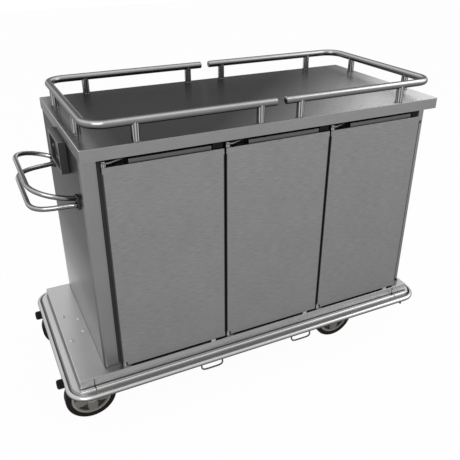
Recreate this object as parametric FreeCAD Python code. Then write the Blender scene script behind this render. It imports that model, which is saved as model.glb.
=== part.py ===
import FreeCAD, Part
import math
import os

# Heated food trolley: three insulated compartments with hinged doors on a bumper-edged
# castor deck, with a worktop and gallery rail above and push handles on the left end.
# Millimetres. +X runs to the right, +Y to the rear and +Z up. The origin is on the floor
# below the middle of the overall box.

Vector = FreeCAD.Vector

# Deck and bumper
deck_right_margin = 23.0
deck_depth = 620.0
deck_top = 226.0
deck_height = 36.0
deck_sheet = 2.5
bumper_width = 45.0
bumper_flange = 24.0
bumper_sheet = 3.0
bumper_groove_depth = 10.0
bumper_groove_width = 10.0
bumper_groove_foot = 7.0
bumper_bead_drop = 5.0
bumper_bead_height = 18.0
bumper_corner_inset = 30.0
bumper_left_leg = 48.0
bumper_right_leg = 70.0
buffer_projection = 21.0
buffer_radius = 15.0
buffer_edge = 90.0
buffer_drop = 3.0
beam_width = 120.0
beam_wall = 2.0
loop_width = 82.0
loop_drop = 21.0
loop_tilt = 7.0
loop_wire = 5.0
loop_bend = 9.0
loop_offsets = [463.0, 838.0]
bumper_stud_radius = 4.0
bumper_stud_height = 12.0
bumper_stud_inset = 47.0
deck_bolt_radius = 8.0
deck_bolt_height = 4.0
deck_bolt_places = [(23.0, 80.0), (75.0, 41.0), (75.0, -41.0), (23.0, -80.0)]

# Castors
wheel_radius = 90.0
tyre_width = 46.0
tyre_rim_radius = 71.0
tyre_shoulder = 9.0
rim_ring = 9.0
rim_width = 38.0
web_thickness = 10.0
hub_radius = 22.0
hub_width = 50.0
spoke_count = 6
spoke_width = 9.0
axle_radius = 6.0
axle_head_radius = 10.0
axle_head = 5.0
swivel_edge = 85.0
fixed_edge = 100.0
castor_trail = 45.0
swivel_inset = 86.0
fixed_inset = 1084.0
fork_sheet = 4.0
fork_crown = 5.0
fork_reach = 24.0
fork_boss = 14.0
tyre_clearance = 4.0
castor_plate = 6.0
castor_plate_length = 110.0
castor_plate_width = 96.0
race_radius = 32.0
race_height = 10.0
king_pin_radius = 6.0

# Cabinet
cabinet_inset = 95.0
right_jamb = 55.0
cabinet_front_setback = 26.0
cabinet_rear_setback = 9.0
base_plate = 6.0
skin = 1.5
end_seam_drop = 62.0
end_seam_gap = 1.0
frame_depth = 25.0
frame_wall = 1.5
sill_height = 24.0
header_height = 40.5
rear_insulation = 27.0
left_insulation = 30.0

# Compartments
compartment_count = 3
compartment_width = 350.0
partition_width = 40.0
rack_levels = 7
rack_first = 84.0
rack_last = 91.0
rib_width = 20.0
rib_height = 6.0
rib_end = 15.0
heater_radius = 4.0
heater_span = 190.0
heater_bend = 30.0
heater_length = 420.0
cover_height = 30.0
cover_slots = 5
cover_slot_width = 12.0
cover_slot_length = 320.0

# Worktop and gallery
worktop_height = 1019.0
worktop_side_overhang = 3.7
worktop_edge = 37.5
worktop_sheet = 2.0
worktop_overhang = 2.5
worktop_right_overhang = 22.5
rail_height = 60.0
rail_inset_x = 29.5
rail_inset_y = 13.7
rail_radius = 12.5
rail_wall = 1.5
rail_bend = 60.0
rail_gap = 36.0
rail_plug = 3.0
post_radius = 12.5
outer_post_x = 475.0
inner_post_x = 72.0
end_post_y = 165.0
weld_gap = 0.1

# Push handles
handle_radius = 8.0
handle_wall = 1.5
handle_root_y = 197.0
handle_pitch = 21.0
lower_stub = 55.0
lower_sweep = 145.0
lower_corner = 22.0
lower_grip_rise = -6.5
lower_reach = 140.0
lower_grip_y = 136.0
upper_root_drop = 152.5
upper_stub = 45.0
upper_sweep = 400.0
upper_corner = 30.0
upper_grip_rise = 44.0
upper_reach = 136.0
upper_grip_y = 182.0
bracket_thickness = 6.0
bracket_width = 26.0
bracket_margin = 3.0

# Doors
door_first = 57.0
door_gap = 7.0
door_deck_gap = 9.0
door_top_gap = 25.5
door_thickness = 19.0
door_sheet = 1.2
door_seal_gap = 4.0
seal_width = 7.0
seal_margin = 0.5
opening_margin = 18.0
hinge_inset = 8.0
hinge_pin_radius = 4.0
hinge_bush_radius = 7.5
hinge_notch_x = 20.0
hinge_notch_z = 18.0
hinge_plate = 4.0
hinge_plate_length = 70.0
hinge_plate_gap = 10.0
hinge_plate_nose = 24.0
hinge_head_radius = 6.5
hinge_head = 3.0
grip_start = 80.0
grip_end = 40.0
grip_height = 19.0
grip_thickness = 8.0
catch_margin = 2.0
catch_width = 34.0
catch_depth = 16.0
catch_height = 21.0
glide_width = 16.0
glide_inset = 47.0
jamb_stud_radius = 5.0
jamb_stud_height = 6.0
jamb_stud_drop = 29.0
jamb_stud_inset = 14.0
stop_width = 8.0
stop_height = 5.0
stop_inset = 9.0
stop_rise = 10.0

# Control box
control_length = 166.0
control_height = 104.0
control_drop = 2.5
control_centre_y = -17.0
control_depth = 22.5
control_border = 8.0
fascia_recess = 9.0
fascia_thickness = 4.0
display_width = 58.0
display_height = 30.0
display_proud = 1.5
button_names = ["button_down", "button_up", "button_timer"]
button_radius = 7.0
button_proud = 3.0
button_flange = 1.5
button_flange_height = 1.2
button_pitch = 22.0
button_row = -22.0
button_first = -40.0
rocker_radius = 7.0
rocker_length = 18.0
rocker_pivot_radius = 1.2
rocker_pivot_length = 3.0
rocker_y = 52.0
unit_depth = 36.0
unit_length = 160.0
unit_height = 100.0
inlet_size = 62.0
inlet_base = 5.0
inlet_wall = 8.0
inlet_well_depth = 12.0
inlet_pin_short = 2.0
inlet_pin_radius = 2.5
inlet_pin_circle = 11.0
inlet_inset = 120.0
inlet_rise = 104.0

# Clearances
running_fit = 0.05
slip = 0.3

# Places that follow from the sizes above
door_pitch = compartment_width + partition_width
compartments_length = compartment_count * door_pitch - partition_width
cabinet_length = door_first + opening_margin + compartments_length + right_jamb
deck_length = cabinet_inset + cabinet_length + deck_right_margin
worktop_length = worktop_overhang + cabinet_length + worktop_right_overhang
worktop_depth = deck_depth + 2 * worktop_side_overhang
overall_length = buffer_projection + deck_length + 2 * bumper_width
deck_left = buffer_projection + bumper_width - overall_length / 2
deck_right = deck_left + deck_length
deck_bottom = deck_top - deck_height
half_deck = deck_depth / 2
flange_top = deck_bottom + bumper_sheet
bead_top = flange_top - bumper_bead_drop
bead_bottom = bead_top - bumper_bead_height
bead_in = bumper_flange + bumper_groove_width
bead_nose = (bumper_width + bead_in) / 2
cabinet_left = deck_left + cabinet_inset
cabinet_right = cabinet_left + cabinet_length
cabinet_front = cabinet_front_setback - half_deck
cabinet_rear = half_deck - cabinet_rear_setback
cabinet_floor = deck_top + base_plate
cabinet_top = worktop_height - worktop_edge
frame_back = cabinet_front + frame_depth
floor_z = cabinet_floor + sill_height
ceiling_z = cabinet_top - header_height
rear_y = cabinet_rear - 2 * skin - rear_insulation
door_left = [cabinet_left + door_first + i * door_pitch for i in range(compartment_count)]
door_width = door_pitch - door_gap
door_bottom = deck_top + door_deck_gap
door_top = cabinet_top - door_top_gap
rack_pitch = (ceiling_z - floor_z - rack_first - rack_last) / (rack_levels - 1)
upper_root_z = cabinet_top - upper_root_drop
lower_root_z = upper_root_z - handle_pitch
end_seam_height = lower_root_z - end_seam_drop
door_rear = cabinet_front - door_seal_gap
door_front = door_rear - door_thickness
chamber_left = [x + opening_margin for x in door_left]
chamber_right = [x + compartment_width for x in chamber_left]
worktop_left = cabinet_left - worktop_overhang
worktop_middle = worktop_left + worktop_length / 2
crown_bottom = 2 * wheel_radius + tyre_clearance
crown_top = crown_bottom + fork_crown
plate_bottom = crown_top + race_height
beam_bottom = plate_bottom + castor_plate
fork_inside = hub_width / 2 + slip
fork_outside = fork_inside + fork_sheet


def box(x0, x1, y0, y1, z0, z1):
    """Block between two corners."""
    return Part.makeBox(x1 - x0, y1 - y0, z1 - z0, Vector(x0, y0, z0))


def rod(radius, start, end):
    """Round bar between two points."""
    along = end - start
    return Part.makeCylinder(radius, along.Length, start, along)


def prism(points, push):
    """Flat outline of points pushed along a vector."""
    return Part.Face(Part.makePolygon(points + [points[0]])).extrude(push)


def square_tube(x0, x1, y0, y1, z0, z1, wall, axis):
    """Rectangular tube, open at both ends along the axis 'x' or 'z'."""
    outer = box(x0, x1, y0, y1, z0, z1)
    if axis == "x":
        return outer.cut(box(x0 - 1, x1 + 1, y0 + wall, y1 - wall, z0 + wall, z1 - wall))
    return outer.cut(box(x0 + wall, x1 - wall, y0 + wall, y1 - wall, z0 - 1, z1 + 1))


def round_face(centre, normal, radius, bore):
    """Flat disc, or ring where bore is above zero, square to normal."""
    outer = Part.Wire(Part.Edge(Part.Circle(centre, normal, radius)))
    if bore <= 0:
        return Part.Face(outer)
    inner = Part.Wire(Part.Edge(Part.Circle(centre, normal, bore)))
    return Part.Face(outer).cut(Part.Face(inner)).Faces[0]


def bent_tube(points, radius, wall, bends):
    """Tube along straight runs with tangent bends: one solid for each run and each bend."""
    bore = radius - wall if wall else 0.0
    pieces = []
    start = points[0]
    for i in range(1, len(points)):
        before = (points[i] - points[i - 1]).normalize()
        last = i == len(points) - 1
        end = points[i]
        if not last:
            after = (points[i + 1] - points[i]).normalize()
            turn = before.getAngle(after)
            bend = bends[i - 1]
            end = points[i] - before * (bend * math.tan(turn / 2))
        run = end - start
        pieces.append(round_face(start, before, radius, bore).extrude(run))
        if not last:
            axis = before.cross(after).normalize()
            centre = end + axis.cross(before) * bend
            face = round_face(end, before, radius, bore)
            pieces.append(face.revolve(centre, axis, math.degrees(turn)))
            start = points[i] + after * (bend * math.tan(turn / 2))
    return pieces


def save(name, pieces):
    """Write one named piece, or a group of separate pieces, to its file."""
    shape = pieces[0] if len(pieces) == 1 else Part.makeCompound(pieces)
    shape.exportStep("parts/" + name + ".step")


def build_deck():
    """Folded deck pan, the cross beams under it and the domed bolts on its left strip."""
    under = deck_top - deck_sheet
    save("base_deck", [box(deck_left, deck_right, -half_deck, half_deck, under, deck_top),
                       box(deck_left, deck_right, -half_deck, -half_deck + deck_sheet, deck_bottom, under),
                       box(deck_left, deck_right, half_deck - deck_sheet, half_deck, deck_bottom, under),
                       box(deck_left, deck_left + deck_sheet, -half_deck + deck_sheet,
                           half_deck - deck_sheet, deck_bottom, under),
                       box(deck_right - deck_sheet, deck_right, -half_deck + deck_sheet,
                           half_deck - deck_sheet, deck_bottom, under)])
    beams = []
    for x in (deck_left + swivel_inset, deck_left + fixed_inset):
        outer = box(x - beam_width / 2, x + beam_width / 2, -half_deck + deck_sheet,
                    half_deck - deck_sheet, beam_bottom, deck_top - deck_sheet)
        hollow = box(x - beam_width / 2 + beam_wall, x + beam_width / 2 - beam_wall,
                     -half_deck, half_deck, beam_bottom + beam_wall, deck_top - deck_sheet - beam_wall)
        beams.append(outer.cut(hollow))
    save("chassis_beams", beams)
    heads = [dome(Vector(deck_left + x, y, deck_top), Vector(0, 0, 1), deck_bolt_radius,
                  deck_bolt_height) for x, y in deck_bolt_places]
    stud = Vector(cabinet_right - jamb_stud_inset, cabinet_front, door_top - jamb_stud_drop)
    heads.append(dome(stud, Vector(0, -1, 0), jamb_stud_radius, jamb_stud_height))
    save("domed_fixings", heads)


def dome(base, up, radius, height):
    """Domed head: a short cylinder below a spherical cap, standing on base."""
    rim = height / 3
    cap = height - rim
    ball = (radius * radius + cap * cap) / (2 * cap)
    body = Part.makeCylinder(radius, height + 1, base, up)
    return body.common(Part.makeSphere(ball, base + up * (height - ball)))


def bumper_section(place):
    """Bumper outline: flat flange, groove, then a rounded bead. place maps (out, up) to space."""
    groove = flange_top - bumper_groove_depth
    corners = [place(bead_nose, bead_bottom), place(bumper_flange + bumper_sheet, bead_bottom),
               place(bumper_flange - bumper_sheet, flange_top - bumper_sheet),
               place(0, flange_top - bumper_sheet), place(0, flange_top),
               place(bumper_flange, flange_top), place(bumper_flange + bumper_groove_foot, groove),
               place(bead_in, bead_top)]
    nose = Part.Arc(place(bead_in, bead_top), place(bumper_width, (bead_top + bead_bottom) / 2),
                    place(bead_nose, bead_bottom)).toShape()
    return Part.Face(Part.Wire(Part.makePolygon(corners).Edges + [nose]))


def build_bumper():
    """Four bumper rails, four corner pieces, the rubber buffers and the strap loops."""
    inset = bumper_corner_inset
    front = bumper_section(lambda u, z: Vector(deck_left + bumper_left_leg, -half_deck - u, z))
    rear = bumper_section(lambda u, z: Vector(deck_left + bumper_left_leg, half_deck + u, z))
    left = bumper_section(lambda u, z: Vector(deck_left - u, inset - half_deck, z))
    right = bumper_section(lambda u, z: Vector(deck_right + u, inset - half_deck, z))
    along_x = Vector(deck_length - bumper_left_leg - bumper_right_leg, 0, 0)
    along_y = Vector(0, deck_depth - 2 * inset, 0)
    save("bumper_rails", [front.extrude(along_x), rear.extrude(along_x),
                          left.extrude(along_y), right.extrude(along_y)])
    corners = []
    deck_block = box(deck_left, deck_right, -half_deck, half_deck, deck_bottom, deck_top)
    for edge_x, side_x, leg in ((deck_left, -1, bumper_left_leg), (deck_right, 1, bumper_right_leg)):
        for side_y in (-1, 1):
            x = edge_x - side_x * inset
            edge_y = side_y * half_deck
            face = bumper_section(lambda u, z: Vector(x, edge_y + side_y * u, z))
            centre = Vector(x, edge_y - side_y * inset, 0)
            turn = face.revolve(centre, Vector(0, 0, -side_x * side_y), 90)
            straight = face.extrude(Vector(side_x * (inset - leg), 0, 0))
            corners.append(turn.fuse(straight).cut(deck_block).removeSplitter())
    save("bumper_corners", corners)

    buffer_z = bead_bottom - buffer_drop
    bead_face = deck_left - bumper_width
    buffers = []
    for y in (buffer_edge - half_deck, half_deck - buffer_edge):
        foot = Vector(deck_left - bead_nose, y, buffer_z)
        block = rod(buffer_radius, foot, Vector(bead_face - buffer_projection, y, buffer_z))
        buffers.append(max(block.cut(left.extrude(along_y)).Solids, key=lambda s: s.Volume))
    stud = Vector(deck_right - bumper_stud_inset, -half_deck - bead_in, bead_bottom)
    buffers.append(rod(bumper_stud_radius, stud, stud - Vector(0, 0, bumper_stud_height)))
    stop_x = cabinet_right - stop_inset
    buffers.append(box(stop_x - stop_width / 2, stop_x + stop_width / 2, cabinet_front - stop_height,
                       cabinet_front, deck_top + stop_rise, deck_top + stop_rise + stop_height))
    save("rubber_buffers", buffers)

    loops = []
    root_y = -half_deck - bead_in
    foot_y = root_y - loop_tilt
    root_z = bead_bottom - loop_wire / 2 * loop_tilt / math.hypot(loop_tilt, loop_drop)
    for offset in loop_offsets:
        x = deck_left + offset
        route = [Vector(x - loop_width / 2, root_y, root_z),
                 Vector(x - loop_width / 2, foot_y, root_z - loop_drop),
                 Vector(x + loop_width / 2, foot_y, root_z - loop_drop),
                 Vector(x + loop_width / 2, root_y, root_z)]
        loops += bent_tube(route, loop_wire / 2, 0, [loop_bend, loop_bend])
    save("strap_loops", loops)


def wheel_tyre(x, y):
    """Solid tyre with rounded shoulders, lying on its rim."""
    half = tyre_width / 2
    crown = wheel_radius - tyre_shoulder
    mid = tyre_shoulder * (1 - math.sqrt(0.5))
    low = [Vector(x, y - half, wheel_radius + tyre_rim_radius),
           Vector(x, y - half, wheel_radius + crown)]
    high = [Vector(x, y - half + tyre_shoulder, 2 * wheel_radius),
            Vector(x, y + half - tyre_shoulder, 2 * wheel_radius)]
    last = [Vector(x, y + half, wheel_radius + crown),
            Vector(x, y + half, wheel_radius + tyre_rim_radius)]
    rise = Part.Arc(low[1], Vector(x, y - half + mid, 2 * wheel_radius - mid), high[0]).toShape()
    fall = Part.Arc(high[1], Vector(x, y + half - mid, 2 * wheel_radius - mid), last[0]).toShape()
    edges = Part.makePolygon(low).Edges + [rise] + Part.makePolygon(high).Edges + [fall]
    edges += Part.makePolygon(last + [low[0]]).Edges
    face = Part.Face(Part.Wire(edges))
    return face.revolve(Vector(x, y, wheel_radius), Vector(0, 1, 0), 360)


def wheel_rim(x, y):
    """Rim ring, spoked web and hub, bored for the axle."""
    centre = Vector(x, y, wheel_radius)
    across = Vector(0, 1, 0)
    inner = tyre_rim_radius - rim_ring

    def drum(radius, width):
        return Part.makeCylinder(radius, width, centre - across * (width / 2), across)

    ring = drum(tyre_rim_radius, rim_width).cut(drum(inner, rim_width + 2))
    web = drum(inner, web_thickness)
    step = 2 * math.pi / spoke_count
    for i in range(spoke_count):
        def spot(radius, angle):
            return centre + Vector(radius * math.cos(angle), -web_thickness, radius * math.sin(angle))
        near = hub_radius + spoke_width / 2
        far = inner - spoke_width / 2
        middle = i * step
        narrow = step / 2 - spoke_width / (2 * near)
        wide = step / 2 - spoke_width / (2 * far)
        gap = [spot(near, middle - narrow), spot(near, middle + narrow),
               spot(far, middle + wide), spot(far, middle), spot(far, middle - wide)]
        web = web.cut(prism(gap, Vector(0, 2 * web_thickness, 0)))
    solid = ring.fuse(web).fuse(drum(hub_radius, hub_width))
    return solid.cut(drum(axle_radius + running_fit, hub_width + 2)).removeSplitter()


def fork(axle_x, axis_x, y):
    """Fork crown and two legs, with the axle bolt through them."""
    crown = box(axle_x - fork_reach, axis_x + race_radius, y - fork_outside, y + fork_outside,
                crown_bottom, crown_top)
    outline = [(axle_x - fork_reach, crown_bottom), (axis_x + fork_reach, crown_bottom),
               (axle_x + fork_boss, wheel_radius), (axle_x + fork_boss / 2, wheel_radius - fork_boss),
               (axle_x - fork_boss / 2, wheel_radius - fork_boss), (axle_x - fork_boss, wheel_radius)]
    hole = rod(axle_radius + running_fit, Vector(axle_x, y - 2 * fork_outside, wheel_radius),
               Vector(axle_x, y + 2 * fork_outside, wheel_radius))
    legs = []
    for start in (-fork_outside, fork_inside):
        leg = prism([Vector(px, y + start, pz) for px, pz in outline], Vector(0, fork_sheet, 0))
        legs.append(leg.cut(hole))
    end = fork_outside + axle_head
    bolt = rod(axle_radius, Vector(axle_x, y - end, wheel_radius), Vector(axle_x, y + end, wheel_radius))
    for side in (-1, 1):
        bolt = bolt.fuse(rod(axle_head_radius, Vector(axle_x, y + side * fork_outside, wheel_radius),
                             Vector(axle_x, y + side * end, wheel_radius)))
    return [crown] + legs, bolt.removeSplitter()


def build_castors():
    """Two swivel castors at the handle end and two fixed castors towards the other end."""
    plates = []
    fixed_forks = []
    for row, side in (("front", -1), ("rear", 1)):
        y = side * (half_deck - swivel_edge)
        axis_x = deck_left + swivel_inset
        wheel_x = axis_x - castor_trail
        pieces, bolt = fork(wheel_x, axis_x, y)
        race = rod(race_radius, Vector(axis_x, y, crown_top), Vector(axis_x, y, plate_bottom - slip))
        pin = rod(king_pin_radius, Vector(axis_x, y, crown_top), Vector(axis_x, y, beam_bottom - slip))
        save("swivel_fork_" + row, pieces + [race.fuse(pin).removeSplitter(), bolt])
        save("swivel_tyre_" + row, [wheel_tyre(wheel_x, y)])
        save("swivel_rim_" + row, [wheel_rim(wheel_x, y)])
        plate = box(axis_x - castor_plate_length / 2, axis_x + castor_plate_length / 2,
                    y - castor_plate_width / 2, y + castor_plate_width / 2, plate_bottom, beam_bottom)
        plates.append(plate.cut(rod(king_pin_radius + running_fit, Vector(axis_x, y, plate_bottom - 1),
                                    Vector(axis_x, y, beam_bottom + 1))))

        y = side * (half_deck - fixed_edge)
        fixed_x = deck_left + fixed_inset
        pieces, bolt = fork(fixed_x, fixed_x, y)
        fixed_forks += pieces + [bolt]
        plates.append(box(fixed_x - castor_plate_length / 2, fixed_x + castor_plate_length / 2,
                          y - castor_plate_width / 2, y + castor_plate_width / 2, crown_top, beam_bottom))
        save("fixed_tyre_" + row, [wheel_tyre(fixed_x, y)])
        save("fixed_rim_" + row, [wheel_rim(fixed_x, y)])
    save("castor_plates", plates)
    save("fixed_forks", fixed_forks)


def build_cabinet():
    """Outer panels, front frame, insulation slabs and compartment liners."""
    save("cabinet_base", [box(cabinet_left, cabinet_right, cabinet_front, cabinet_rear,
                              deck_top, cabinet_floor)])
    half_seam = end_seam_gap / 2
    save("left_end_lower_panel", [box(cabinet_left, cabinet_left + skin, frame_back, cabinet_rear,
                                      cabinet_floor, end_seam_height - half_seam)])
    save("left_end_upper_panel", [box(cabinet_left, cabinet_left + skin, frame_back, cabinet_rear,
                                      end_seam_height + half_seam, cabinet_top)])
    save("right_end_panel", [box(cabinet_right - skin, cabinet_right, frame_back, cabinet_rear,
                                 cabinet_floor, cabinet_top)])
    save("rear_panel", [box(cabinet_left + skin, cabinet_right - skin, cabinet_rear - skin,
                            cabinet_rear, cabinet_floor, cabinet_top)])

    first = chamber_left[0]
    last = chamber_right[-1]
    frame = [square_tube(cabinet_left, first, cabinet_front, frame_back, cabinet_floor, cabinet_top,
                         frame_wall, "z"),
             square_tube(last, cabinet_right, cabinet_front, frame_back, cabinet_floor, cabinet_top,
                         frame_wall, "z"),
             square_tube(first, last, cabinet_front, frame_back, ceiling_z, cabinet_top,
                         frame_wall, "x"),
             square_tube(first, last, cabinet_front, frame_back, cabinet_floor, floor_z,
                         frame_wall, "x")]
    for i in range(compartment_count - 1):
        frame.append(square_tube(chamber_right[i], chamber_left[i + 1], cabinet_front, frame_back,
                                 floor_z, ceiling_z, frame_wall, "z"))
    save("front_frame", frame)

    slab_left = first - skin - left_insulation
    slab_right = cabinet_right - skin
    slabs = [box(slab_left, slab_right, rear_y + skin, cabinet_rear - skin, cabinet_floor, cabinet_top),
             box(slab_left, slab_right, frame_back, rear_y + skin, cabinet_floor, floor_z - skin),
             box(slab_left, slab_right, frame_back, rear_y + skin, ceiling_z + skin, cabinet_top),
             box(slab_left, first - skin, frame_back, rear_y + skin, floor_z - skin, ceiling_z + skin),
             box(last + skin, slab_right, frame_back, rear_y + skin, floor_z - skin, ceiling_z + skin)]
    for i in range(compartment_count - 1):
        slabs.append(box(chamber_right[i] + skin, chamber_left[i + 1] - skin, frame_back,
                         rear_y + skin, floor_z - skin, ceiling_z + skin))
    save("insulation_slabs", slabs)

    liners = []
    racks = []
    for x0, x1 in zip(chamber_left, chamber_right):
        liners.append(box(x0, x1, frame_back, rear_y, floor_z - skin, floor_z))
        liners.append(box(x0, x1, frame_back, rear_y, ceiling_z, ceiling_z + skin))
        liners.append(box(x0, x1, rear_y, rear_y + skin, floor_z - skin, ceiling_z + skin))
        racks += tray_rack(x0, 1) + tray_rack(x1, -1)
    save("compartment_liners", liners)
    save("tray_racks", racks)


def tray_rack(wall_x, inward):
    """Side liner of a compartment and the tray runners that are welded to it."""
    edges = sorted((wall_x, wall_x - inward * skin))
    pieces = [box(edges[0], edges[1], frame_back, rear_y, floor_z - skin, ceiling_z + skin)]
    reach = sorted((wall_x, wall_x + inward * rib_width))
    for level in range(rack_levels):
        z = floor_z + rack_first + level * rack_pitch
        pieces.append(box(reach[0], reach[1], frame_back + rib_end, rear_y - rib_end, z, z + rib_height))
    return pieces


def build_heaters():
    """One bent element on each compartment floor, below a slotted cover."""
    elements = []
    covers = []
    for x0, x1 in zip(chamber_left, chamber_right):
        middle = (x0 + x1) / 2
        z = floor_z + heater_radius + slip
        route = [Vector(middle - heater_span / 2, rear_y - slip, z),
                 Vector(middle - heater_span / 2, rear_y - heater_length, z),
                 Vector(middle + heater_span / 2, rear_y - heater_length, z),
                 Vector(middle + heater_span / 2, rear_y - slip, z)]
        elements += bent_tube(route, heater_radius, 0, [heater_bend, heater_bend])
        side = rib_width + slip
        cover = box(x0 + side, x1 - side, frame_back + rib_end, rear_y - rib_end, floor_z,
                    floor_z + cover_height)
        cover = cover.cut(box(x0 + side + skin, x1 - side - skin, frame_back, rear_y, floor_z - 1,
                              floor_z + cover_height - skin))
        slot_y = (frame_back + rear_y - cover_slot_length) / 2
        spacing = (x1 - x0 - 2 * side) / (cover_slots + 1)
        for i in range(cover_slots):
            x = x0 + side + (i + 1) * spacing
            cover = cover.cut(box(x - cover_slot_width / 2, x + cover_slot_width / 2, slot_y,
                                  slot_y + cover_slot_length, floor_z + cover_height - 2 * skin,
                                  floor_z + cover_height + 1))
        covers.append(cover)
    save("heating_elements", elements)
    save("heater_covers", covers)


def build_worktop():
    """Folded worktop with its core board, the two gallery rails and their posts."""
    right = worktop_left + worktop_length
    half = worktop_depth / 2
    sheet = worktop_sheet
    inside = box(worktop_left + sheet, right - sheet, -half + sheet, half - sheet, cabinet_top - 1,
                 worktop_height - sheet)
    save("worktop", [box(worktop_left, right, -half, half, cabinet_top, worktop_height).cut(inside)])
    save("worktop_core", [box(worktop_left + sheet, right - sheet, -half + sheet, half - sheet,
                              cabinet_top, worktop_height - sheet)])

    z = worktop_height + rail_height
    rail_x = worktop_length / 2 - rail_inset_x
    rail_y = half - rail_inset_y
    for name, side in (("left", -1), ("right", 1)):
        inner = worktop_middle + side * rail_gap / 2
        outer = worktop_middle + side * rail_x
        route = [Vector(inner, -rail_y, z), Vector(outer, -rail_y, z), Vector(outer, rail_y, z),
                 Vector(inner, rail_y, z)]
        rail = bent_tube(route, rail_radius, rail_wall, [rail_bend, rail_bend])
        inward = Vector(side * rail_plug, 0, 0)
        for end in (route[0], route[-1]):
            rail.append(rod(rail_radius - rail_wall, end, end + inward))
        save(name + "_gallery_rail", rail)

    posts = []
    for side_x in (-1, 1):
        for side_y in (-1, 1):
            for x in (outer_post_x, inner_post_x):
                posts.append(gallery_post(worktop_middle + side_x * x, side_y * rail_y, z, Vector(1, 0, 0)))
            posts.append(gallery_post(worktop_middle + side_x * rail_x, side_y * end_post_y, z,
                                      Vector(0, 1, 0)))
    save("gallery_posts", posts)


def gallery_post(x, y, z, along):
    """Upright tube, shaped at its top to the rail that runs along the given direction."""
    base = Vector(x, y, worktop_height)
    top = Vector(x, y, z)
    tube = rod(post_radius, base, top).cut(rod(post_radius - rail_wall, base - Vector(0, 0, 1), top))
    reach = along * (2 * post_radius)
    return tube.cut(rod(rail_radius + weld_gap, top - reach, top + reach))


def build_handles():
    """Two bent handle loops that share a bracket plate at each end."""
    face = cabinet_left - bracket_thickness
    upper = (upper_root_z, upper_grip_rise, upper_reach, upper_grip_y, upper_stub, upper_sweep, upper_corner)
    lower = (lower_root_z, lower_grip_rise, lower_reach, lower_grip_y, lower_stub, lower_sweep, lower_corner)
    plate_block = box(face, cabinet_left + handle_radius, -half_deck, half_deck, deck_top, worktop_height)
    for name, sizes in (("upper", upper), ("lower", lower)):
        root_z, rise, reach, grip_y, stub, sweep, corner = sizes
        slope = rise / (reach - bracket_thickness)
        front = [Vector(cabinet_left, -handle_root_y, root_z - slope * bracket_thickness),
                 Vector(face - stub, -handle_root_y, root_z + slope * stub),
                 Vector(cabinet_left - reach, -grip_y, root_z + rise)]
        rear = [Vector(p.x, -p.y, p.z) for p in reversed(front)]
        loop = bent_tube(front + rear, handle_radius, handle_wall, [sweep, corner, corner, sweep])
        loop[0] = loop[0].cut(plate_block)
        loop[-1] = loop[-1].cut(plate_block)
        save(name + "_push_handle", loop)
    plates = []
    for y in (-handle_root_y, handle_root_y):
        plates.append(box(face, cabinet_left, y - bracket_width / 2, y + bracket_width / 2,
                          lower_root_z - handle_radius - bracket_margin,
                          upper_root_z + handle_radius + bracket_margin))
    save("handle_brackets", plates)


def hinge_plate_piece(x, z):
    """Tapered hinge plate that stands out of the front frame, with its pin hole."""
    axis_y = (door_front + door_rear) / 2
    nose = axis_y - hinge_bush_radius
    outline = [Vector(x, cabinet_front, z), Vector(x, nose, z), Vector(x + hinge_plate_nose, nose, z),
               Vector(x + hinge_plate_length, cabinet_front, z)]
    hole = rod(hinge_pin_radius + running_fit, Vector(x + hinge_inset, axis_y, z - 1),
               Vector(x + hinge_inset, axis_y, z + hinge_plate + 1))
    return prism(outline, Vector(0, 0, hinge_plate)).cut(hole)


def build_hinges():
    """Top and bottom hinge plates and pins, the magnetic catches and the door glides."""
    axis_y = (door_front + door_rear) / 2
    top_plate = door_top + hinge_plate_gap
    plates = []
    pins = []
    catches = []
    glides = []
    for x in door_left:
        plates.append(hinge_plate_piece(x, top_plate))
        plates.append(hinge_plate_piece(x, deck_top))
        pin_x = x + hinge_inset
        top = top_plate + hinge_plate
        upper = rod(hinge_pin_radius, Vector(pin_x, axis_y, door_top - hinge_notch_z + slip),
                    Vector(pin_x, axis_y, top))
        head = rod(hinge_head_radius, Vector(pin_x, axis_y, top), Vector(pin_x, axis_y, top + hinge_head))
        pins.append(upper.fuse(head).removeSplitter())
        seat = deck_top + hinge_plate
        lower = rod(hinge_pin_radius, Vector(pin_x, axis_y, deck_top),
                    Vector(pin_x, axis_y, door_bottom + hinge_notch_z - slip))
        collar = rod(hinge_head_radius, Vector(pin_x, axis_y, seat),
                     Vector(pin_x, axis_y, door_bottom - slip))
        pins.append(lower.fuse(collar).removeSplitter())
        right = x + door_width
        catch_right = right - catch_margin
        catches.append(box(catch_right - catch_width, catch_right, cabinet_front - catch_depth,
                           cabinet_front, door_top + catch_margin, door_top + catch_margin + catch_height))
        glides.append(box(right - glide_inset - glide_width / 2, right - glide_inset + glide_width / 2,
                          door_front, door_rear, deck_top, door_bottom - 2 * slip))
    save("hinge_plates", plates)
    save("hinge_pins", pins)
    save("door_catches", catches)
    save("door_glides", glides)


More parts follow.
